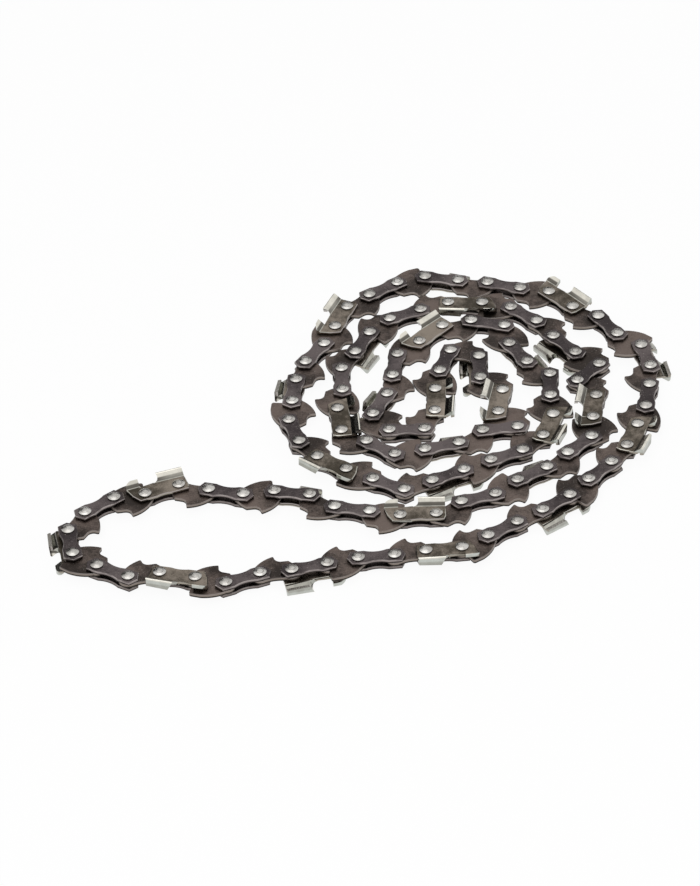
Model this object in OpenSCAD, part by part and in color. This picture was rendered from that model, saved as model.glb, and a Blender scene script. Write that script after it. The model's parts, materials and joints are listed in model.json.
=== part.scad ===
// Low profile saw chain loop, lying on its side: most of it is wound into a loose coil and
// one lobe is pulled open. Millimetres, Z up. The rivets stand upright, the floor is Z = 0
// and the chain rests on the outer corners of the lower row of cutters.
// Every link is drawn on a workbench first: X runs from its trailing rivet to its leading
// rivet, Y points to the cutting side, Z = 0 is the middle of the drive link's thickness.

/* [Chain] */
// Mean distance from one rivet to the next
pitch = 9.525; // [9.45:0.005:9.6]
// Distance between the two rivets of a side strap or a cutter
strap_pitch = 10.18; // [10.1:0.01:10.26]
// Half the width of the cut, from the middle of the chain to a cutter's outer corner
kerf_half = 3.27; // [3:0.01:3.5]

/* [Side straps] */
// Thickness of the side straps and of the cutters' side plates
strap_t = 1; // [0.85:0.05:1.05]
// Half the height of a strap at its ends
strap_half_h = 2.65; // [2.4:0.05:2.7]
// Half the height of a strap at its waist
strap_waist = 2; // [1.8:0.05:2.2]
// Half the length of the strap's hollow edges
waist_span = 3.2; // [2.6:0.1:3.6]
// Reach of the strap's point beyond its rivet
strap_nose = 3.2; // [2.9:0.05:3.3]
// Reach of the strap's corners beyond its rivet
strap_corner = 1.9; // [1.6:0.05:2.2]

/* [Drive links] */
// Thickness of the drive links
drive_t = 1.27; // [1.1:0.01:1.4]
// Radius of the drive link's round ends
drive_end_r = 2.7; // [2.5:0.05:2.8]
// Height of the saddle between the round ends, above the rivet line
saddle_h = 1.9; // [1.6:0.05:2.2]
// Depth of the tang below the rivet line
tang_depth = 7.4; // [6.8:0.05:7.5]
// Radius of the tang's curved back
tang_back_r = 10.4; // [9:0.1:14]
// Radius of the scoop behind the tang's tip
scoop_r = 1.9; // [1.4:0.05:2]
// Depth of the tang's front foot below the rivet line
foot_depth = 5; // [4.4:0.05:5.2]
// Height of the bumper above the rivet line
bumper_h = 6; // [5.4:0.05:6.1]
// Radius of the bumper's sloping back
ramp_r = 11.5; // [10:0.5:20]
// Radius of the bumper's trailing corner
bumper_corner_r = 0.7; // [0.3:0.1:1]

/* [Cutters] */
// Height of the cutting edge above the rivet line
cutter_h = 6.1; // [5.8:0.05:6.2]
// Height of the bend between the side plate and the outward flare
bend_h = 3.3; // [3:0.05:3.5]
// Reach of the side plate behind the trailing rivet
cutter_tail = 2.7; // [2.4:0.05:2.9]
// Reach of the depth gauge's foot ahead of the leading rivet
gauge_reach = 4.4; // [4:0.05:4.5]
// Length of the depth gauge
gauge_len = 4; // [3.6:0.1:4.6]
// Height of the depth gauge above the rivet line
gauge_h = 5.15; // [4.6:0.05:5.4]
// Diameter of the round file that shapes the cutting edge
file_d = 4; // [3.6:0.1:4.2]
// Angle of the cutting edge across the top plate, in degrees
file_angle = 30; // [20:1:35]
// Distance of the file's centre below the cutting edge
file_drop = 0.9; // [0.7:0.05:1.1]
// Distance of the working corner ahead of the middle of the link
corner_x = 0.15; // [-0.4:0.05:0.4]
// Fall of the top plate towards its tail, in degrees
relief_angle = 2.5; // [1:0.5:4]
// Narrowing of the top plate at its tail
tail_taper = 0.5; // [0.2:0.1:0.8]
// Bevel of the top plate's trailing corner
tail_bevel = 0.5; // [0.2:0.1:0.8]

/* [Rivets] */
// Diameter of the rivet's hub, on which the drive links turn
hub_d = 4; // [3.8:0.05:4.2]
// Diameter of the rivet's ends in the side straps
end_d = 2.9; // [2.6:0.05:3.1]
// Diameter of the rivet's peened head
head_d = 3.7; // [3.4:0.05:3.9]
// Height of the peened head
head_h = 0.75; // [0.55:0.05:0.8]
// Height of the straight rim below the head's dome
head_rim = 0.3; // [0.2:0.05:0.4]

/* [Fits] */
// Radial clearance of the hub in the drive link's bore
hub_clear = 0.05; // [0.02:0.01:0.08]
// Radial clearance of the rivet's end in the strap's hole
end_clear = 0.03; // [0.01:0.01:0.06]
// Gap between a drive link's face and the strap beside it
side_clear = 0.03; // [0.02:0.01:0.06]

/* [Hidden] */
$fn = 48;
// Overrun of every cut past the faces it goes through
over = file_d / 2;

// Distance between the two rivets of a drive link
drive_pitch = 2 * pitch - strap_pitch;
half_strap = strap_pitch / 2;
half_drive = drive_pitch / 2;
// Inner and outer faces of the side plates
plate_in = drive_t / 2 + side_clear;
plate_out = plate_in + strap_t;
// Height of the gullet's floor: the file's lowest line
file_h = cutter_h - file_drop;
gullet_h = file_h - file_d / 2;

// Where the chain lies: one place for each rivet from 1 on, in pitches, in the order of
// travel: the lower side of the open lobe, the coil, and the upper side of the lobe. The chain
// runs from place to place with its true link lengths, so a rivet may lie a little off.
lower_shares = [
    [-8.25, -4.7], [-7.5, -5.3], [-6.6, -5.85], [-5.7, -5.7], [-4.65, -5.95], [-3.75, -6.25],
    [-2.7, -5.85]
];
coil_shares = [
    [-1.8, -5.75], [-0.8, -5.5], [0.1, -5.3], [1.2, -5.2], [2.1, -5.05], [3.15, -4.95],
    [3.95, -4.45], [4.85, -3.85], [5.6, -3.35], [6.45, -2.7], [7.05, -2], [7.8, -1.2],
    [8.3, -0.45], [8.7, 0.55], [9, 1.4], [9.2, 2.45], [9.3, 3.4], [9.1, 4.45],
    [8.4, 5.1], [7.85, 6.05], [7.1, 6.55], [6.4, 7.35], [5.5, 7.6], [4.45, 7.95],
    [3.55, 8.1], [2.5, 8.35], [1.6, 8.05], [0.7, 7.45], [0, 6.85], [-0.4, 5.8],
    [-0.75, 4.95], [-1.35, 4.05], [-1.65, 3.1], [-1.75, 2.05], [-1.85, 1.15], [-1.5, 0.1],
    [-0.95, -0.6], [-0.1, -1.2], [0.7, -1.7], [1.65, -2.25], [2.45, -1.8], [3.4, -1.35],
    [4.25, -0.9], [5.3, -0.45], [5.9, 0.25], [6.25, 1.35], [6.15, 2.3], [6.2, 3.3],
    [5.5, 3.85], [5, 4.8], [4.9, 5.75], [3.85, 6], [2.9, 5.75], [2.2, 4.95],
    [1.45, 4.3], [1.35, 3.25], [1.15, 2.3], [0.65, 1.3], [1.25, 0.55], [2.3, 0.65],
    [2.6, 1.5], [2.65, 2.6], [2.8, 3.4], [3.15, 4.4], [4.1, 4.15], [4.05, 3.15],
    [4.7, 2.45], [4.55, 1.5], [5, 0.75], [3.95, 0.5], [3.35, 0], [2.35, -0.3],
    [1.45, -0.5], [0.55, 0.1], [-0.2, 0.65], [-0.35, 1.7], [-0.2, 2.6], [-0.2, 3.6],
    [0.15, 4.4], [0.65, 5.4], [1.25, 6.1], [2.25, 6.6], [3.2, 6.95], [4.25, 6.9],
    [5.2, 6.6], [6, 5.8], [6.45, 5], [7.1, 4.15], [7.8, 3.55], [7.05, 2.85],
    [7.55, 2.05], [7.4, 1.05], [7.3, 0.1], [6.55, -0.65], [5.9, -1.3], [4.95, -1.9],
    [4.25, -2.55], [3.2, -2.85], [2.45, -3.4], [1.4, -3.4], [0.5, -3.15], [-0.55, -2.9],
    [-1.35, -2.25], [-2.4, -2.1]
];
upper_shares = [
    [-3.25, -2.1], [-4.25, -1.95], [-5.2, -1.75], [-6.2, -1.9], [-7.15, -2.1], [-7.9, -2.85]
];
lie_shares = concat(lower_shares, coil_shares, upper_shares);
function place(i) = pitch * lie_shares[i - 1];
// First and last rivet of the coil, and the number of rivets round the loop with rivet 0
first_laid = len(lower_shares) + 1;
last_laid = first_laid + len(coil_shares) - 1;
rivets = len(lie_shares) + 1;
// Straight distance from rivet 116 to rivet 0, in pitches: the two links between them are a
// little bent
end_span_share = 1.965;
// Middle of the lying chain's outline, in pitches
middle_share = [0.46, 1.13];

// One step of a given length towards a place, and the point where two links meet
function step(p, q, d) = p + d * (q - p) / norm(q - p);
function meet(p, a, q, b, side) =
    let (v = q - p, d = norm(v), u = (d * d + a * a - b * b) / (2 * d), h = sqrt(a * a - u * u))
    p + u * v / d + side * h * [-v[1], v[0]] / d;

// Even links are pairs of side pieces, odd links are drive links
function link_len(i) = i % 2 == 0 ? strap_pitch : drive_pitch;
function ahead(p, i) = i == last_laid ? [p]
    : concat([p], ahead(step(p, place(i + 1), link_len(i)), i + 1));
function behind(p, i) = i == 1 ? [p]
    : concat([p], behind(step(p, place(i - 1), link_len(i - 1)), i - 1));
coil_run = ahead(place(first_laid), first_laid);
lower_run = behind(place(first_laid), first_laid);
// The upper side of the lobe repeats the steps of its lower side, so both sides stay parallel
// when the lobe swings
upper_112 = coil_run[last_laid - first_laid] + lower_run[1] - lower_run[0];
upper_115 = upper_112 + lower_run[4] - lower_run[1];
upper_116 = upper_115 + lower_run[5] - lower_run[4];
upper_113 = step(upper_112, place(113), strap_pitch);
upper_114 = meet(upper_113, drive_pitch, upper_115, strap_pitch, -1);
// Rivet 0 closes the loop: it lies a strap from rivet 1 and a bent pair from rivet 116
rivet_0 = meet(upper_116, end_span_share * pitch, lower_run[7], strap_pitch, -1);
upper_117 = meet(upper_116, strap_pitch, rivet_0, drive_pitch, -1);
upper_run = [upper_112, upper_113, upper_114, upper_115, upper_116, upper_117];
function raw_rivet(i) = i == 0 ? rivet_0 : i < first_laid ? lower_run[first_laid - i]
    : i <= last_laid ? coil_run[i - first_laid] : upper_run[i - last_laid - 1];
function rivet_at(i) = raw_rivet(i % rivets) - pitch * middle_share;

// Cutters sit on every second pair, left and right in turn. The number of pairs is odd, so
// after the nineteenth cutter the next one follows on the very next pair.
cutters = 30;
close_after = 18;
function cutter_pair(n) = 4 * n - (n > close_after ? 2 : 0);
right_pairs = [for (n = [0:2:cutters - 2]) cutter_pair(n)];
left_pairs = [for (n = [1:2:cutters - 1]) cutter_pair(n)];
function is_in(i, list) = len([for (v = list) if (v == i) v]) > 0;
function has_bumper(i) = is_in(i - 1, right_pairs) || is_in(i - 1, left_pairs);
coil_pairs = [for (i = [first_laid:2:last_laid - 1]) i];
coil_drives = [for (i = [first_laid + 1:2:last_laid - 2]) i];

// Centre of the concave edge that passes the strap's waist
waist_sag = strap_half_h - strap_waist;
waist_r = (waist_span * waist_span + waist_sag * waist_sag) / (2 * waist_sag);
// Radius of the saddle that meets both round ends of a drive link in a smooth line
saddle_r = (saddle_h * saddle_h + half_drive * half_drive - drive_end_r * drive_end_r)
    / (2 * (drive_end_r - saddle_h));
// Outline points of the tang, along X as shares of the pitch
tip_x_share = -0.01;
face_x_share = 0.02;
foot_x_share = 0.43;
knee_share = [0.56, 0.72];
shoulder_angle = 36;
tang_tip = [tip_x_share * pitch, -tang_depth];
drive_back = [-half_drive - drive_end_r, 0];
tang_back_c = meet(tang_tip, tang_back_r, drive_back, tang_back_r, -1);
scoop_c = [face_x_share * pitch + scoop_r, -foot_depth - scoop_r];
// Outline points of the bumper, along X as shares of the pitch
bumper_back_share = -0.47;
bumper_flat_share = -0.13;
bumper_toe_share = [0.55, 0.45];
bumper_top = [bumper_flat_share * pitch, bumper_h];
bumper_toe = [bumper_toe_share[0] * pitch, bumper_toe_share[1] * bumper_h];
ramp_c = meet(bumper_top, ramp_r, bumper_toe, ramp_r, -1);
// The flare leads from the bend to the outer corner, and the top plate back from there
flare_top = [cutter_h - 1.5 * strap_t / 2, kerf_half - strap_t / 2];
bend_at = [bend_h, plate_in + strap_t / 2];
plate_end = [cutter_h - strap_t / 2, plate_in];
gauge_foot_share = 0.6;
gauge_run_share = 0.65;
// Depth gauge: its front stands upright as far as the bend is round, and then goes over to
// the flat top in one arc
gauge_foot = bend_h + gauge_foot_share * strap_t;
gauge_run = gauge_run_share * gauge_len;
gauge_rise = gauge_h - gauge_foot;
gauge_r = (gauge_run * gauge_run + gauge_rise * gauge_rise) / (2 * gauge_rise);
// Side plate outline of the cutter: ends as shares of its reaches
tail_corner_share = 0.8;
toe_corner_share = 0.5;
toe_middle_share = 0.82;
tail_rise_share = 0.45;

// Side strap, seen from above
module strap_outline() {
    difference() {
        polygon([
            [-half_strap - strap_nose, 0], [-half_strap - strap_corner, -strap_half_h],
            [half_strap + strap_corner, -strap_half_h], [half_strap + strap_nose, 0],
            [half_strap + strap_corner, strap_half_h], [-half_strap - strap_corner, strap_half_h]
        ]);
        for (s = [-1, 1]) translate([0, s * (strap_waist + waist_r)]) circle(r = waist_r);
        strap_holes();
    }
}

module strap_holes() {
    for (s = [-1, 1]) translate([s * half_strap, 0]) circle(r = end_d / 2 + end_clear);
}

module strap() {
    translate([0, 0, plate_in]) linear_extrude(strap_t) strap_outline();
}

// Tang: a curved back, a tip with a short upright face, a scoop and a front foot
module tang_outline() {
    difference() {
        intersection() {
            translate(tang_back_c) circle(r = tang_back_r);
            polygon([
                drive_back, [drive_back[0], -tang_depth], tang_tip,
                [face_x_share * pitch, scoop_c[1]], scoop_c, [scoop_c[0], -foot_depth],
                [foot_x_share * pitch, -foot_depth],
                [knee_share[0] * pitch, -knee_share[1] * foot_depth],
                [half_drive + drive_end_r * cos(shoulder_angle),
                    -drive_end_r * sin(shoulder_angle)],
                [half_drive, 0]
            ]);
        }
        translate(scoop_c) circle(r = scoop_r);
    }
}

// Bumper: an upright back, a short flat top and a long ramp down to the leading rivet
module bumper_outline() {
    back_x = bumper_back_share * pitch;
    intersection() {
        translate(ramp_c) circle(r = ramp_r);
        union() {
            polygon([
                [back_x, 0], [back_x, bumper_h - bumper_corner_r],
                [back_x + bumper_corner_r, bumper_h], bumper_top,
                [bumper_toe[0], bumper_h], bumper_toe, [half_drive, 0]
            ]);
            translate([back_x + bumper_corner_r, bumper_h - bumper_corner_r])
                circle(r = bumper_corner_r);
        }
    }
}

module drive_link(bumper) {
    translate([0, 0, -drive_t / 2]) linear_extrude(drive_t) difference() {
        union() {
            for (s = [-1, 1]) translate([s * half_drive, 0]) circle(r = drive_end_r);
            difference() {
                translate([-half_drive, -saddle_h])
                    square([drive_pitch, saddle_h + drive_end_r]);
                translate([0, saddle_h + saddle_r]) circle(r = saddle_r);
            }
            tang_outline();
            if (bumper) bumper_outline();
        }
        for (s = [-1, 1]) translate([s * half_drive, 0]) circle(r = hub_d / 2 + hub_clear);
    }
}

// A strip of the plate's thickness between two points of the folded section
module strip(p, q) {
    translate(p) rotate(atan2(q[1] - p[1], q[0] - p[0]))
        translate([0, -strap_t / 2]) square([norm(q - p), strap_t]);
}

// Draws a section of the fold, in Y and Z, along X from one place to another
module along(x0, x1) {
    translate([x0, 0, 0]) rotate([90, 0, 90]) linear_extrude(x1 - x0) children();
}

module flare_section() {
    translate(bend_at) circle(d = strap_t);
    strip(bend_at, flare_top);
}

module plate_section() {
    translate(flare_top) circle(d = strap_t);
    intersection() {
        strip(flare_top, flare_top + (1 + strap_t / kerf_half) * (plate_end - flare_top));
        translate([bend_h, plate_in]) square([cutter_h, kerf_half]);
    }
}

// Side plate of a cutter, seen from above: its edge towards the cutting side ends at the bend
module cutter_side_outline() {
    tail = -half_strap - cutter_tail;
    toe = half_strap + gauge_reach;
    difference() {
        polygon([
            [tail, -tail_rise_share * strap_half_h],
            [-half_strap - tail_corner_share * cutter_tail, -strap_half_h],
            [half_strap + toe_corner_share * gauge_reach, -strap_half_h],
            [half_strap + toe_middle_share * gauge_reach, 0],
            [toe, bend_h], [toe - gauge_len, bend_h], [toe - gauge_len, gullet_h],
            [corner_x, gullet_h], [corner_x, bend_h],
            [tail, bend_h - (corner_x - tail) * tan(relief_angle)]
        ]);
        translate([0, -strap_half_h + waist_sag / 2 - waist_r]) circle(r = waist_r);
        strap_holes();
    }
}

// Depth gauge, seen from above
module gauge_outline() {
    toe = half_strap + gauge_reach;
    intersection() {
        translate([toe - gauge_len, bend_h - strap_t]) square([gauge_len, gauge_h - bend_h + strap_t]);
        union() {
            translate([toe - gauge_run, gauge_h - gauge_r]) circle(r = gauge_r);
            translate([toe - gauge_len, bend_h - strap_t]) square([gauge_len - gauge_run, gauge_h]);
            translate([toe - gauge_run, bend_h - strap_t]) square([gauge_run, gauge_foot - bend_h + strap_t]);
        }
    }
}

// Tooth, seen from above: everything behind the file, with a bevelled trailing corner
module tooth_outline() {
    tail = -half_strap - cutter_tail;
    polygon([
        [tail, 0], [tail, cutter_h - 2 * tail_bevel], [tail + tail_bevel, cutter_h],
        [file_d / 3, cutter_h], [file_d / 3, 0]
    ]);
}

// Right-hand cutter: its side plate lies at plus Z on the workbench
module cutter() {
    tail = -half_strap - cutter_tail;
    toe = half_strap + gauge_reach;
    difference() {
        union() {
            translate([0, 0, plate_in]) linear_extrude(strap_t) cutter_side_outline();
            intersection() {
                along(toe - gauge_len, toe) flare_section();
                linear_extrude(kerf_half + over) gauge_outline();
            }
            intersection() {
                translate([corner_x, bend_h, 0]) rotate(relief_angle)
                    translate([-corner_x, -bend_h, 0]) along(tail - over, file_d) {
                        flare_section();
                        plate_section();
                    }
                linear_extrude(kerf_half + over) tooth_outline();
            }
        }
        file_cut();
        tail_cut();
    }
}

// The round file's path, level with the cutting edge and turned across the top plate
module file_cut() {
    chord = sqrt(file_d * file_d / 4 - file_drop * file_drop) / cos(file_angle);
    translate([corner_x + chord, file_h, kerf_half]) rotate([0, file_angle, 0])
        translate([0, 0, -4 * kerf_half]) cylinder(d = file_d, h = 8 * kerf_half);
}

// Takes the top plate's free edge back towards its tail
module tail_cut() {
    tail = -half_strap - cutter_tail;
    translate([0, gauge_h, 0]) rotate([90, 0, 0]) translate([0, 0, -over])
        linear_extrude(gauge_h - bend_h + over)
            polygon([[corner_x, plate_in], [tail - over, plate_in],
                [tail - over, plate_in + tail_taper]]);
}

// Rivet with a hub, two ends and two peened heads
module rivet() {
    dome = head_h - head_rim;
    dome_r = (head_d * head_d / 4 + dome * dome) / (2 * dome);
    rotate_extrude() for (m = [0, 1]) mirror([0, m]) {
        square([hub_d / 2, plate_in]);
        square([end_d / 2, plate_out]);
        intersection() {
            translate([0, plate_out]) square([head_d / 2, head_h]);
            translate([0, plate_out + head_h - dome_r]) circle(r = dome_r);
        }
    }
}

// Lays a workbench link between rivets i and i + 1: its Z then points down
module on_link(i) {
    a = rivet_at(i);
    b = rivet_at(i + 1);
    translate([(a[0] + b[0]) / 2, (a[1] + b[1]) / 2, kerf_half])
        rotate(atan2(b[1] - a[1], b[0] - a[0])) rotate([180, 0, 0]) children();
}

module on_rivet(i) {
    translate([rivet_at(i)[0], rivet_at(i)[1], kerf_half]) children();
}

module right_cutter(k) {
    color([0.62, 0.6, 0.52]) on_link(right_pairs[k - 1]) cutter();
}

module left_cutter(k) {
    color([0.62, 0.6, 0.52]) on_link(left_pairs[k - 1]) mirror([0, 0, 1]) cutter();
}

module lower_strap(i) {
    color([0.24, 0.26, 0.3]) on_link(i) strap();
}

module upper_strap(i) {
    color([0.2, 0.22, 0.27]) on_link(i) mirror([0, 0, 1]) strap();
}

module drive(i) {
    color([0.33, 0.3, 0.27]) on_link(i) drive_link(has_bumper(i));
}

module rivet_row(from, to) {
    color([0.8, 0.8, 0.78]) for (i = [from:to]) on_rivet(i) rivet();
}

module coil_lower_straps() {
    for (i = coil_pairs) if (!is_in(i, right_pairs)) lower_strap(i);
}

module coil_upper_straps() {
    for (i = coil_pairs) if (!is_in(i, left_pairs)) upper_strap(i);
}

module coil_drive_links() {
    for (i = coil_drives) if (!has_bumper(i)) drive(i);
}

module coil_bumper_links() {
    for (i = coil_drives) if (has_bumper(i)) drive(i);
}

coil_lower_straps();
coil_upper_straps();
coil_drive_links();
coil_bumper_links();
rivet_row(first_laid, last_laid);  // coil_rivets
drive(7);  // lower_inner_drive_link
lower_strap(4);  // lower_strap_4
lower_strap(6);  // lower_strap_6
upper_strap(6);  // upper_strap_6
drive(5);  // lower_bumper_link
rivet_row(4, 7);  // lower_rivets
drive(3);  // lower_outer_drive_link
upper_strap(0);  // upper_strap_0
lower_strap(2);  // lower_strap_2
upper_strap(2);  // upper_strap_2
lower_strap(116);  // lower_strap_116
upper_strap(116);  // upper_strap_116
drive(1);  // end_bumper_link
drive(117);  // end_drive_link
rivet_row(116, rivets + 3);  // end_rivets
drive(111);  // upper_inner_bumper_link
lower_strap(112);  // lower_strap_112
upper_strap(112);  // upper_strap_112
lower_strap(114);  // lower_strap_114
drive(113);  // upper_drive_link
rivet_row(112, 115);  // upper_rivets
drive(115);  // upper_outer_bumper_link
for (k = [1:cutters / 2]) {
    right_cutter(k);
    left_cutter(k);
}
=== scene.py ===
import json
import math

import bmesh
import bpy
from mathutils import Matrix, Vector

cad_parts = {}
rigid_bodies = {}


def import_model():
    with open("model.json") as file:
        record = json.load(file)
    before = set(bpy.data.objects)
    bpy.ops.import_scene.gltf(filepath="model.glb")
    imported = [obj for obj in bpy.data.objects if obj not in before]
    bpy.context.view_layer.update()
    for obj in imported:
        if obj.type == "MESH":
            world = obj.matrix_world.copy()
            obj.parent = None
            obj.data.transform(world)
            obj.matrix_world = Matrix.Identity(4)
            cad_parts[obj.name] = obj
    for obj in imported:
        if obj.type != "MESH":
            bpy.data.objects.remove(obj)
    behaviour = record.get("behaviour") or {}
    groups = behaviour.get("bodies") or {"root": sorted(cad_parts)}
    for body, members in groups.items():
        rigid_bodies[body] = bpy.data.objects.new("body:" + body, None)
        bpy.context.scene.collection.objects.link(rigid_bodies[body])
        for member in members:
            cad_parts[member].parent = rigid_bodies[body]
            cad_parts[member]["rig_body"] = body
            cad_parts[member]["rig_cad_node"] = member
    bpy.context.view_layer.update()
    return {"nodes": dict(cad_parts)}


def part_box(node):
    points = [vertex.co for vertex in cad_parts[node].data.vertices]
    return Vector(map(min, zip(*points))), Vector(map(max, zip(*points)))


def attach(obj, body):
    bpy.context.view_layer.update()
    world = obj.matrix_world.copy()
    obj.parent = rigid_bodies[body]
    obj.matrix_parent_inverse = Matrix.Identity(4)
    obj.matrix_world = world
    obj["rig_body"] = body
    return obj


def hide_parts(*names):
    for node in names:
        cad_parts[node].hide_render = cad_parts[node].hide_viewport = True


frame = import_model()

MM = 0.001


# Levels of the plates, read from the CAD

def levels_of(node):
    """Heights above the floor of the two level faces of a node's plates."""
    low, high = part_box(node)
    return low.z, high.z


DRIVE_LEVELS = levels_of("coil_drive_links")
UPPER_LEVELS = levels_of("coil_upper_straps")
LOWER_LEVELS = levels_of("coil_lower_straps")
MID_Z = sum(DRIVE_LEVELS) / 2
PLATE_OUT = UPPER_LEVELS[1] - MID_Z


# Shader maths as plain expressions

class Field:
    """A shader socket that takes part in sums and products."""

    def __init__(self, tree, socket):
        self.tree = tree
        self.socket = socket

    def node(self, kind, settings=None, inputs=None, out=0):
        """Any other node: its type, its settings, then the values or links of its sockets."""
        new = self.tree.nodes.new(kind)
        for name, value in (settings or {}).items():
            setattr(new, name, value)
        for name, value in (inputs or {}).items():
            if isinstance(value, Field):
                self.tree.links.new(value.socket, new.inputs[name])
            else:
                new.inputs[name].default_value = value
        return Field(self.tree, new.outputs[out])

    def math(self, operation, *values):
        return self.node("ShaderNodeMath", {"operation": operation}, dict(enumerate(values)))

    def __add__(self, other):
        return self.math("ADD", self, other)

    def __radd__(self, other):
        return self.math("ADD", other, self)

    def __sub__(self, other):
        return self.math("SUBTRACT", self, other)

    def __rsub__(self, other):
        return self.math("SUBTRACT", other, self)

    def __mul__(self, other):
        return self.math("MULTIPLY", self, other)

    def __rmul__(self, other):
        return self.math("MULTIPLY", other, self)

    def __truediv__(self, other):
        return self.math("DIVIDE", self, other)

    def __rtruediv__(self, other):
        return self.math("DIVIDE", other, self)

    def __abs__(self):
        return self.math("ABSOLUTE", self)

    def ramp(self, low, high, to_low=0.0, to_high=1.0):
        """Goes smoothly from to_low to to_high while self goes from low to high."""
        return self.node(
            "ShaderNodeMapRange",
            {"interpolation_type": "SMOOTHSTEP"},
            {0: self, 1: low, 2: high, 3: to_low, 4: to_high},
        )

    def noise(self, scale, detail=3.0, rough=0.5):
        """Cloudy noise on self as a place; scale is in features per metre."""
        return self.node(
            "ShaderNodeTexNoise",
            {},
            {"Vector": self, "Scale": scale, "Detail": detail, "Roughness": rough},
        )

    def mixed(self, low, high):
        """A colour that goes from low to high as self goes from 0 to 1."""
        return self.node(
            "ShaderNodeMix", {"data_type": "RGBA"}, {0: self, 6: low, 7: high}, out=2
        )

    def part(self, axis):
        """One of a vector's three parts."""
        return self.node("ShaderNodeSeparateXYZ", {}, {0: self}, out=axis)

    def scaled(self, factors):
        """A vector times three factors."""
        return self.node(
            "ShaderNodeVectorMath", {"operation": "MULTIPLY"}, {0: self, 1: factors}
        )


class Finish:
    """A material with its object coordinates and normals ready for use."""

    def __init__(self, name):
        self.material = bpy.data.materials.new(name)
        self.material.use_nodes = True
        self.tree = self.material.node_tree
        self.shader = self.tree.nodes["Principled BSDF"]
        self.output = self.tree.nodes["Material Output"]
        self.start = Field(self.tree, None)
        self.place = self.start.node("ShaderNodeTexCoord", out=3)
        self.normal = self.start.node("ShaderNodeNewGeometry", out=1)

    def up(self):
        """How level a face lies: 1 on level faces, 0 on upright walls, 0.7 on eased edges."""
        return abs(self.normal.part(2))

    def set(self, **values):
        """Sets or links sockets of the shader, with _ for a space in their names."""
        for name, value in values.items():
            socket = self.shader.inputs[name.replace("_", " ")]
            if isinstance(value, Field):
                self.tree.links.new(value.socket, socket)
            else:
                socket.default_value = value

    def bump(self, height, depth, strength):
        bumped = self.start.node(
            "ShaderNodeBump", {}, {"Strength": strength, "Distance": depth, "Height": height}
        )
        self.tree.links.new(bumped.socket, self.shader.inputs["Normal"])


def grey(level):
    return (level, level, level, 1)


# Finishes

# Noises on the plates, in features per metre, from about one tone to a link to fine specks
# Patches of painted shade in the cutters' bends
BEND_SHADE_PATCHES = 60.0
TONES = 75.0
# Patches of wear and painted highlight on the eased edges
RUBS_AND_HIGHLIGHTS = 330.0
CLOUDS = 420.0
SCUFFS = 700.0
SCORES = 900.0
GRAINS = 2300.0
SPECKS = 3000.0

# Noises on the rivets' heads, likewise
RINGED_HEADS = 130.0
HEAD_TONES = 160.0
HEAD_CLOUDS = 900.0
HEAD_SPECKS = 3600.0

# Upright shares of a face's normal between which walls, eased edges and level faces part
TO_WALL = (0.5, 0.3)
OFF_WALL = (0.4, 0.55)
OFF_LEVEL = (0.95, 0.85)

# Depths under a wall's top, as shares of its height, between which its colour turns from the
# band that broke away, with painted shade, to the sheared band, with a painted highlight
TORN_SHARE = 0.62
SHEARED_SHARE = 0.4

# Colours shared by several finishes
# Eased edges: wear with a painted highlight
WORN_AND_HIGHLIT_EDGE = (0.36, 0.325, 0.31, 1)
GRIT = (0.27, 0.25, 0.23, 1)
# Lower walls: steel that broke away, with painted shade
TORN_AND_SHADED_STRAP = (0.03, 0.026, 0.024, 1)
TORN_AND_SHADED_LINK = (0.035, 0.03, 0.026, 1)


def plate_finish(name, levels, dark, light, sheared, torn_and_shaded, rough, edge_wear_and_light):
    """Blanked, oily sheet steel between two levels. Its tone drifts from link to link. Its walls
    are light near the top, for the band the punch sheared and a painted highlight, and dark
    below, for the band that broke away and painted shade; its eased edges are light with wear
    and a painted highlight."""
    f = Finish(name)
    up = f.up()
    wall = up.ramp(*TO_WALL)
    # Eased edges are lighter with wear and a painted highlight, more on some than on others
    rubbed_and_highlit = f.place.noise(RUBS_AND_HIGHLIGHTS, 2.0, 0.6).ramp(0.36, 0.6, to_low=0.25, to_high=edge_wear_and_light)
    eased = up.ramp(*OFF_LEVEL) * up.ramp(*OFF_WALL) * rubbed_and_highlit

    drift = f.place.noise(TONES, 1.0, 0.4)
    clouds = f.place.noise(CLOUDS, 4.0, 0.6)
    specks = f.place.noise(SPECKS, 2.0, 0.7)
    scuffs = f.place.scaled((1.0, 7.0, 1.0)).noise(SCUFFS, 3.0, 0.6)
    tone = drift * 0.45 + clouds * 0.2 + scuffs * 0.15 + specks * 0.2
    grit = f.place.noise(GRAINS, 2.0, 0.6).ramp(0.66, 0.72)
    face = grit.mixed(tone.ramp(0.415, 0.585).mixed(dark, light), GRIT)

    bottom, top = levels
    thickness = top - bottom
    # The walls: light at the top for the sheared band with a painted highlight, dark below for
    # the band that broke away with painted shade
    shear_and_wall_light = f.place.part(2).ramp(
        top - TORN_SHARE * thickness, top - SHEARED_SHARE * thickness
    )
    f.set(
        Base_Color=eased.mixed(wall.mixed(face, shear_and_wall_light.mixed(torn_and_shaded, sheared)), WORN_AND_HIGHLIT_EDGE),
        Roughness=specks * 0.14 + clouds * 0.16 + wall * 0.05 + (rough - 0.15),
        Metallic=1.0,
    )
    f.bump(specks * 0.5 + clouds * 0.5, depth=0.03 * MM, strength=0.35)
    return f.material


OLIVE = ((0.058, 0.049, 0.037, 1), (0.265, 0.226, 0.187, 1))
# Chrome with painted light: lit where it faces up, shaded where it stands upright
CHROME_SHADED_ON_WALLS = (0.54, 0.56, 0.52, 1)
CHROME_LIT_ON_TOP = (0.76, 0.73, 0.65, 1)
# Chrome at the bend: thin plating with painted shade
CHROME_THIN_AND_SHADED_AT_BEND = (0.33, 0.325, 0.29, 1)
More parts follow.
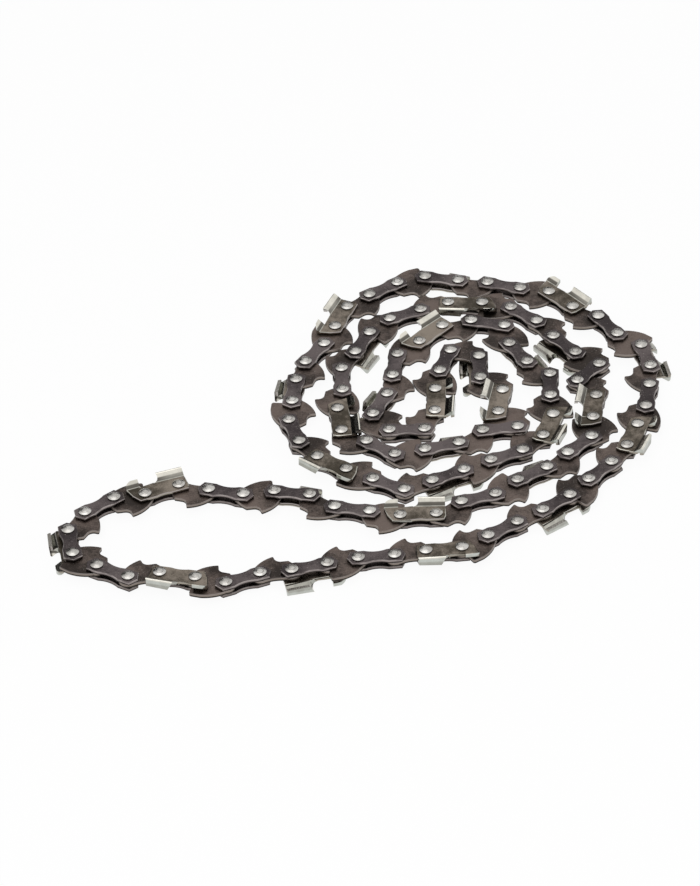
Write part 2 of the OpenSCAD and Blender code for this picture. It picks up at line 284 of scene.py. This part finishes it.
# Painted shade in the hollow of a cutter's bend
SHADE_IN_BEND = (0.06, 0.053, 0.044, 1)
# The cutter's walls: painted shade deep down, the sheared band with a painted highlight near the
# outer face
CUTTER_WALL_SHADE_AND_LIGHT = ((0.05, 0.045, 0.038, 1), (0.34, 0.31, 0.26, 1))


def cutter_finish(name, side):
    """Chromed flare and top plate over an olive side plate. side is 1 where the side plate is
    the upper one, and -1 where it is the lower one."""
    f = Finish(name)
    up = f.up()
    # Millimetres outward from the side plate's outer face
    rise = ((f.place.part(2) - MID_Z) * side - PLATE_OUT) / MM
    drift = f.place.noise(TONES, 1.0, 0.4)
    clouds = f.place.noise(CLOUDS, 4.0, 0.6)
    specks = f.place.noise(SPECKS, 2.0, 0.7)

    plate = up.ramp(0.93, 0.97) * rise.ramp(0.085, 0.005)
    beside_plate = rise.ramp(0.035, 0.005)
    wall = up.ramp(0.09, 0.04) * beside_plate
    # Eased edges take the worn colour with its painted highlight
    eased = up.ramp(0.775, 0.735) * up.ramp(*OFF_WALL) * beside_plate
    olive = (drift * 0.5 + clouds * 0.3 + specks * 0.2).ramp(0.4, 0.6).mixed(*OLIVE)

    # Painted light on the chrome: lighter where a face turns up and darker where it stands
    # upright. The chrome is thinner along the bend, and darker there with painted shade that
    # lightens up the flare
    chrome_lit_by_facing = up.ramp(0.3, 0.5).mixed(CHROME_SHADED_ON_WALLS, CHROME_LIT_ON_TOP)
    plating_and_bend_shade = clouds.ramp(0.3, 0.7) * 0.4 + rise.ramp(0.035, 0.635) * 0.6
    chrome = plating_and_bend_shade.mixed(CHROME_THIN_AND_SHADED_AT_BEND, chrome_lit_by_facing)
    # Painted shade lies in the hollow of the bend, darker on some cutters than on others
    hollow = rise.ramp(0.095, 0.195) * rise.ramp(0.935, 0.685) * up.ramp(0.2, 0.35)
    bend_shade = hollow * f.place.noise(BEND_SHADE_PATCHES, 0.0).ramp(0.36, 0.5, to_low=0.6, to_high=0.88)
    chrome = bend_shade.mixed(chrome, SHADE_IN_BEND)

    # The cutter's walls darken inward with painted shade and lighten near the outer face for the
    # sheared band and a painted highlight
    cut_wall_shade_and_light = rise.ramp(-0.665, -0.465).mixed(*CUTTER_WALL_SHADE_AND_LIGHT)
    f.set(
        Base_Color=eased.mixed(wall.mixed(plate.mixed(chrome, olive), cut_wall_shade_and_light), WORN_AND_HIGHLIT_EDGE),
        Roughness=plate * (specks * 0.16 + 0.14) + wall * 0.12 + eased * 0.12 + 0.17,
        Metallic=1.0,
    )
    return f.material


def sheared_finish(name):
    """The sheared end of the chromed top plate: grey, with fine scores across it, and darker
    than the faces beside it with painted shade.
    """
    f = Finish(name)
    scores = f.place.scaled((6.0, 1.0, 1.0)).noise(SCORES, 3.0, 0.6)
    f.set(
        Base_Color=scores.ramp(0.35, 0.65).mixed(
            (0.15, 0.14, 0.125, 1), (0.34, 0.325, 0.295, 1)
        ),
        Roughness=scores * 0.2 + 0.22,
        Metallic=1.0,
    )
    return f.material


RIVET_STEEL = ((0.38, 0.365, 0.34, 1), (0.6, 0.585, 0.555, 1))
RING_GROOVE = (0.17, 0.155, 0.145, 1)
# Dark rim: oily steel and a painted contact shadow
RIM_OIL_AND_SHADE = (0.12, 0.105, 0.1, 1)


def rivet_finish(name):
    """Bright peened heads with a dark, oily rim that also holds a painted contact shadow. Some
    of them show the ring that the peening tool rolled into the dome: its height on the dome
    gives its place."""
    f = Finish(name)
    # Millimetres outward from the side plates' outer faces, which is the height on a head
    rise = (abs(f.place.part(2) - MID_Z) - PLATE_OUT) / MM
    drift = f.place.noise(HEAD_TONES, 1.0, 0.4)
    clouds = f.place.noise(HEAD_CLOUDS, 3.0, 0.6)
    specks = f.place.noise(HEAD_SPECKS, 3.0, 0.7)

    steel = (drift * 0.4 + clouds * 0.3 + specks * 0.3).ramp(0.38, 0.62).mixed(*RIVET_STEEL)
    on_some = f.place.noise(RINGED_HEADS, 0.0).ramp(0.4, 0.6)
    ring = rise.ramp(0.57, 0.6) * rise.ramp(0.66, 0.63) * on_some
    # Darker round the rim: oily steel and a painted contact shadow
    oil_and_contact_shade = rise.ramp(0.34, 0.25)
    f.set(
        Base_Color=oil_and_contact_shade.mixed((ring * 0.75).mixed(steel, RING_GROOVE), RIM_OIL_AND_SHADE),
        Roughness=specks * 0.16 + clouds * 0.1 + 0.15,
        Metallic=1.0,
    )
    f.bump(specks * 0.3 + clouds * 0.4 - ring * 0.6, depth=0.05 * MM, strength=0.5)
    return f.material


# Each plate's sheared colour tops its walls with a painted highlight, the colour below it holds
# painted shade, and the amount of rubbing sets how much worn, painted-highlit colour its eased
# edges show
upper_strap = plate_finish(
    "blued strap, upper",
    UPPER_LEVELS,
    dark=(0.045, 0.037, 0.038, 1),
    light=(0.135, 0.113, 0.112, 1),
    sheared=(0.3, 0.26, 0.25, 1),
    torn_and_shaded=TORN_AND_SHADED_STRAP,
    rough=0.36,
    edge_wear_and_light=1.0,
)
lower_strap = plate_finish(
    "blued strap, lower",
    LOWER_LEVELS,
    dark=(0.045, 0.037, 0.036, 1),
    light=(0.135, 0.113, 0.108, 1),
    sheared=(0.22, 0.19, 0.18, 1),
    torn_and_shaded=TORN_AND_SHADED_STRAP,
    rough=0.38,
    edge_wear_and_light=0.6,
)
drive_link = plate_finish(
    "brown drive link",
    DRIVE_LEVELS,
    dark=(0.036, 0.029, 0.0255, 1),
    light=(0.16, 0.126, 0.11, 1),
    sheared=(0.27, 0.23, 0.2, 1),
    torn_and_shaded=TORN_AND_SHADED_LINK,
    rough=0.38,
    edge_wear_and_light=0.6,
)
left_cutter = cutter_finish("chromed cutter, left hand", 1)
right_cutter = cutter_finish("chromed cutter, right hand", -1)
sheared_end = sheared_finish("sheared end of a top plate")
rivet_steel = rivet_finish("peened rivet")


# Plates with eased edges

# Limits of a normal's upright share, for a level face, a wall and a top plate's end
LEVEL_LEAST = 0.999
WALL_MOST = 0.02
END_LEAST = 0.99

LEVEL_SLACK = 0.01 * MM
MERGE_WITHIN = 0.002 * MM
FLAT_WITHIN = math.radians(0.5)
SMOOTH_UP_TO = math.radians(30)

# The end of a cutter's top plate lies this near the side plate's inner face, and is smaller
# than the side plate
END_REACH = 0.6 * MM
END_AREA_MOST = 12 * MM * MM


def is_blanked(edge, levels):
    """True for an edge between a level face and an upright wall, at one of two levels."""
    if len(edge.link_faces) != 2:
        return False
    least, most = sorted(abs(face.normal.z) for face in edge.link_faces)
    height = edge.verts[0].co.z
    off = min(abs(height - level) for level in levels)
    return least < WALL_MOST and most > LEVEL_LEAST and off < LEVEL_SLACK


def mark_top_plate_end(plate, inner_level):
    """Gives the small, nearly level patch that ends a cutter's top plate the second finish."""
    def is_level(face):
        off = abs(face.verts[0].co.z - inner_level)
        return abs(face.normal.z) > END_LEAST and off < END_REACH

    seen = set()
    for face in plate.faces:
        if face in seen or not is_level(face):
            continue
        patch = [face]
        seen.add(face)
        for reached in patch:
            for edge in reached.edges:
                for other in edge.link_faces:
                    if other not in seen and is_level(other):
                        seen.add(other)
                        patch.append(other)
        if sum(part.calc_area() for part in patch) < END_AREA_MOST:
            for part in patch:
                part.material_index = 1


def eased_copy(name, node, levels, width):
    """A copy of a blanked plate with its sheared outline broken by a narrow bevel."""
    bpy.ops.object.select_all(action="DESELECT")
    node.select_set(True)
    bpy.context.view_layer.objects.active = node
    bpy.ops.object.duplicate()
    piece = bpy.context.object
    piece.name = name + "_eased"
    del piece["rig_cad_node"]
    bpy.ops.object.mode_set(mode="EDIT")
    bpy.ops.mesh.select_all(action="SELECT")
    bpy.ops.mesh.customdata_custom_splitnormals_clear()
    bpy.ops.mesh.remove_doubles(threshold=MERGE_WITHIN)
    bpy.ops.mesh.dissolve_limited(angle_limit=FLAT_WITHIN)
    bpy.ops.mesh.select_all(action="DESELECT")
    bpy.ops.mesh.select_mode(type="EDGE")
    plate = bmesh.from_edit_mesh(piece.data)
    if "cutter" in name:
        piece.data.materials.append(sheared_end)
        inner_level = min(levels, key=lambda level: abs(level - MID_Z))
        mark_top_plate_end(plate, inner_level)
    for edge in plate.edges:
        edge.select = is_blanked(edge, levels)
    plate.select_flush_mode()
    bmesh.update_edit_mesh(piece.data)
    bpy.ops.mesh.bevel(offset=width, segments=1, clamp_overlap=False)
    bpy.ops.object.mode_set(mode="OBJECT")
    bpy.ops.object.shade_smooth_by_angle(angle=SMOOTH_UP_TO)
    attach(piece, node["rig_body"])
    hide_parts(name)


# How wide the edges of thick and thin plates are eased
PLATE_EASE = 0.18 * MM
DRIVE_EASE = 0.15 * MM


def plate_kind(name):
    """Finish, levels and width of the eased edges of a node's plates, told by its name."""
    if name.startswith(("coil_upper", "upper_strap")):
        return upper_strap, UPPER_LEVELS, PLATE_EASE
    if name.startswith(("coil_lower", "lower_strap")):
        return lower_strap, LOWER_LEVELS, PLATE_EASE
    if name.startswith("left_cutter"):
        return left_cutter, UPPER_LEVELS, PLATE_EASE
    if name.startswith("right_cutter"):
        return right_cutter, LOWER_LEVELS, PLATE_EASE
    return drive_link, DRIVE_LEVELS, DRIVE_EASE


for name, node in frame["nodes"].items():
    node.data.materials.clear()
    if "rivets" in name:
        node.data.materials.append(rivet_steel)
    else:
        finish, levels, width = plate_kind(name)
        node.data.materials.append(finish)
        eased_copy(name, node, levels, width)


# Floor, background and light

# Share of the floor that shows plain white to the camera, the rest being lit and shaded
FLOOR_GLOW = 0.94
# Strength of the world's light on the object, where the background is 1
AMBIENT = 0.45


def stand(name, size, at, turn=(0, 0, 0)):
    """A plane that belongs to the studio and not to the object."""
    bpy.ops.object.select_all(action="DESELECT")
    bpy.ops.mesh.primitive_plane_add(size=1, location=at, rotation=turn)
    obj = bpy.context.object
    obj.name = name
    obj.scale = (*size, 1)
    return obj


def shown_to_eye_or_gloss(start):
    """1 for rays from the camera and for reflected or refracted ones, 0 for the rest."""
    path = start.node("ShaderNodeLightPath")
    seen = path
    for out in ("Is Glossy Ray", "Is Transmission Ray"):
        seen = seen.math("MAXIMUM", seen, Field(start.tree, path.socket.node.outputs[out]))
    return seen


def white_finish(name, share):
    """Pale floor that shows white to the camera and in reflections, and keeps its shadow."""
    f = Finish(name)
    f.set(Base_Color=grey(0.86), Roughness=0.9)
    glow = f.start.node("ShaderNodeEmission", {}, {"Color": grey(1.0), "Strength": 1.0})
    mix = f.tree.nodes.new("ShaderNodeMixShader")
    f.tree.links.new((shown_to_eye_or_gloss(f.start) * share).socket, mix.inputs[0])
    f.tree.links.new(f.shader.outputs[0], mix.inputs[1])
    f.tree.links.new(glow.socket, mix.inputs[2])
    f.tree.links.new(mix.outputs[0], f.output.inputs["Surface"])
    return f.material


floor = stand("floor", size=(6.0, 6.0), at=(0, 0, 0))
floor.data.materials.append(white_finish("white floor", FLOOR_GLOW))

world = bpy.data.worlds.new("studio")
bpy.context.scene.world = world
world.use_nodes = True
background = world.node_tree.nodes["Background"]
seen_share = shown_to_eye_or_gloss(Field(world.node_tree, None))
strength = seen_share * (1 - AMBIENT) + AMBIENT
background.inputs["Color"].default_value = grey(1.0)
world.node_tree.links.new(strength.socket, background.inputs["Strength"])


def softbox(name, at, size, power, aim=(0, 0, 0)):
    data = bpy.data.lights.new(name, "AREA")
    data.shape = "RECTANGLE"
    data.size, data.size_y = size
    data.energy = power
    lamp = bpy.data.objects.new(name, data)
    bpy.context.scene.collection.objects.link(lamp)
    lamp.location = at
    lamp.rotation_euler = (Vector(aim) - Vector(at)).to_track_quat("-Z", "Y").to_euler()
    return lamp


key = softbox("key", at=(-0.25, -0.55, 0.75), size=(0.5, 0.5), power=4.0)
fill = softbox("fill", at=(0.7, -0.1, 0.6), size=(0.5, 0.4), power=1.5)
softbox(
    "overhead", at=(-0.15, 0.15, 1.2), size=(0.8, 0.6), power=1.8, aim=(-0.15, 0.15, 0)
)
# The steel doesn't mirror these two, which would leave white spots on it
key.visible_glossy = False
fill.visible_glossy = False

# Dark cards behind the chain, out of the picture, that only the steel reflects
shade = Finish("dark card")
shade.set(Base_Color=grey(0.02), Roughness=1.0)
UPRIGHT = (math.radians(90), 0, 0)
for name, size, at in (
    ("dark card, low", (3.0, 0.36), (0, 1.05, 0.19)),
    ("dark card, left", (1.3, 0.65), (-0.95, 1.05, 0.695)),
):
    card = stand(name, size, at, UPRIGHT)
    card.data.materials.append(shade.material)
    card.visible_camera = False
    card.visible_diffuse = False
    card.visible_shadow = False


# Camera, fitted to the rivets in the photograph

PICTURE_HEIGHT = 886
FOCAL_PIXELS = 4361.24
SENSOR = 36.0
CAMERA_AT = Vector((-4.3815, -985.96, 791.1)) * MM
ELEVATION = math.radians(38.867)
ROLL = math.radians(-1.5759)

camera_data = bpy.data.cameras.new("camera")
camera_data.sensor_fit = "VERTICAL"
camera_data.sensor_height = SENSOR
camera_data.lens = FOCAL_PIXELS / PICTURE_HEIGHT * SENSOR
camera_data.clip_start = 0.01
camera = bpy.data.objects.new("camera", camera_data)
bpy.context.scene.collection.objects.link(camera)
bpy.context.scene.camera = camera
camera.location = CAMERA_AT
tilt = Matrix.Rotation(math.pi / 2 - ELEVATION, 3, "X")
camera.rotation_euler = (tilt @ Matrix.Rotation(ROLL, 3, "Z")).to_euler()

bpy.context.scene.view_settings.view_transform = "Standard"
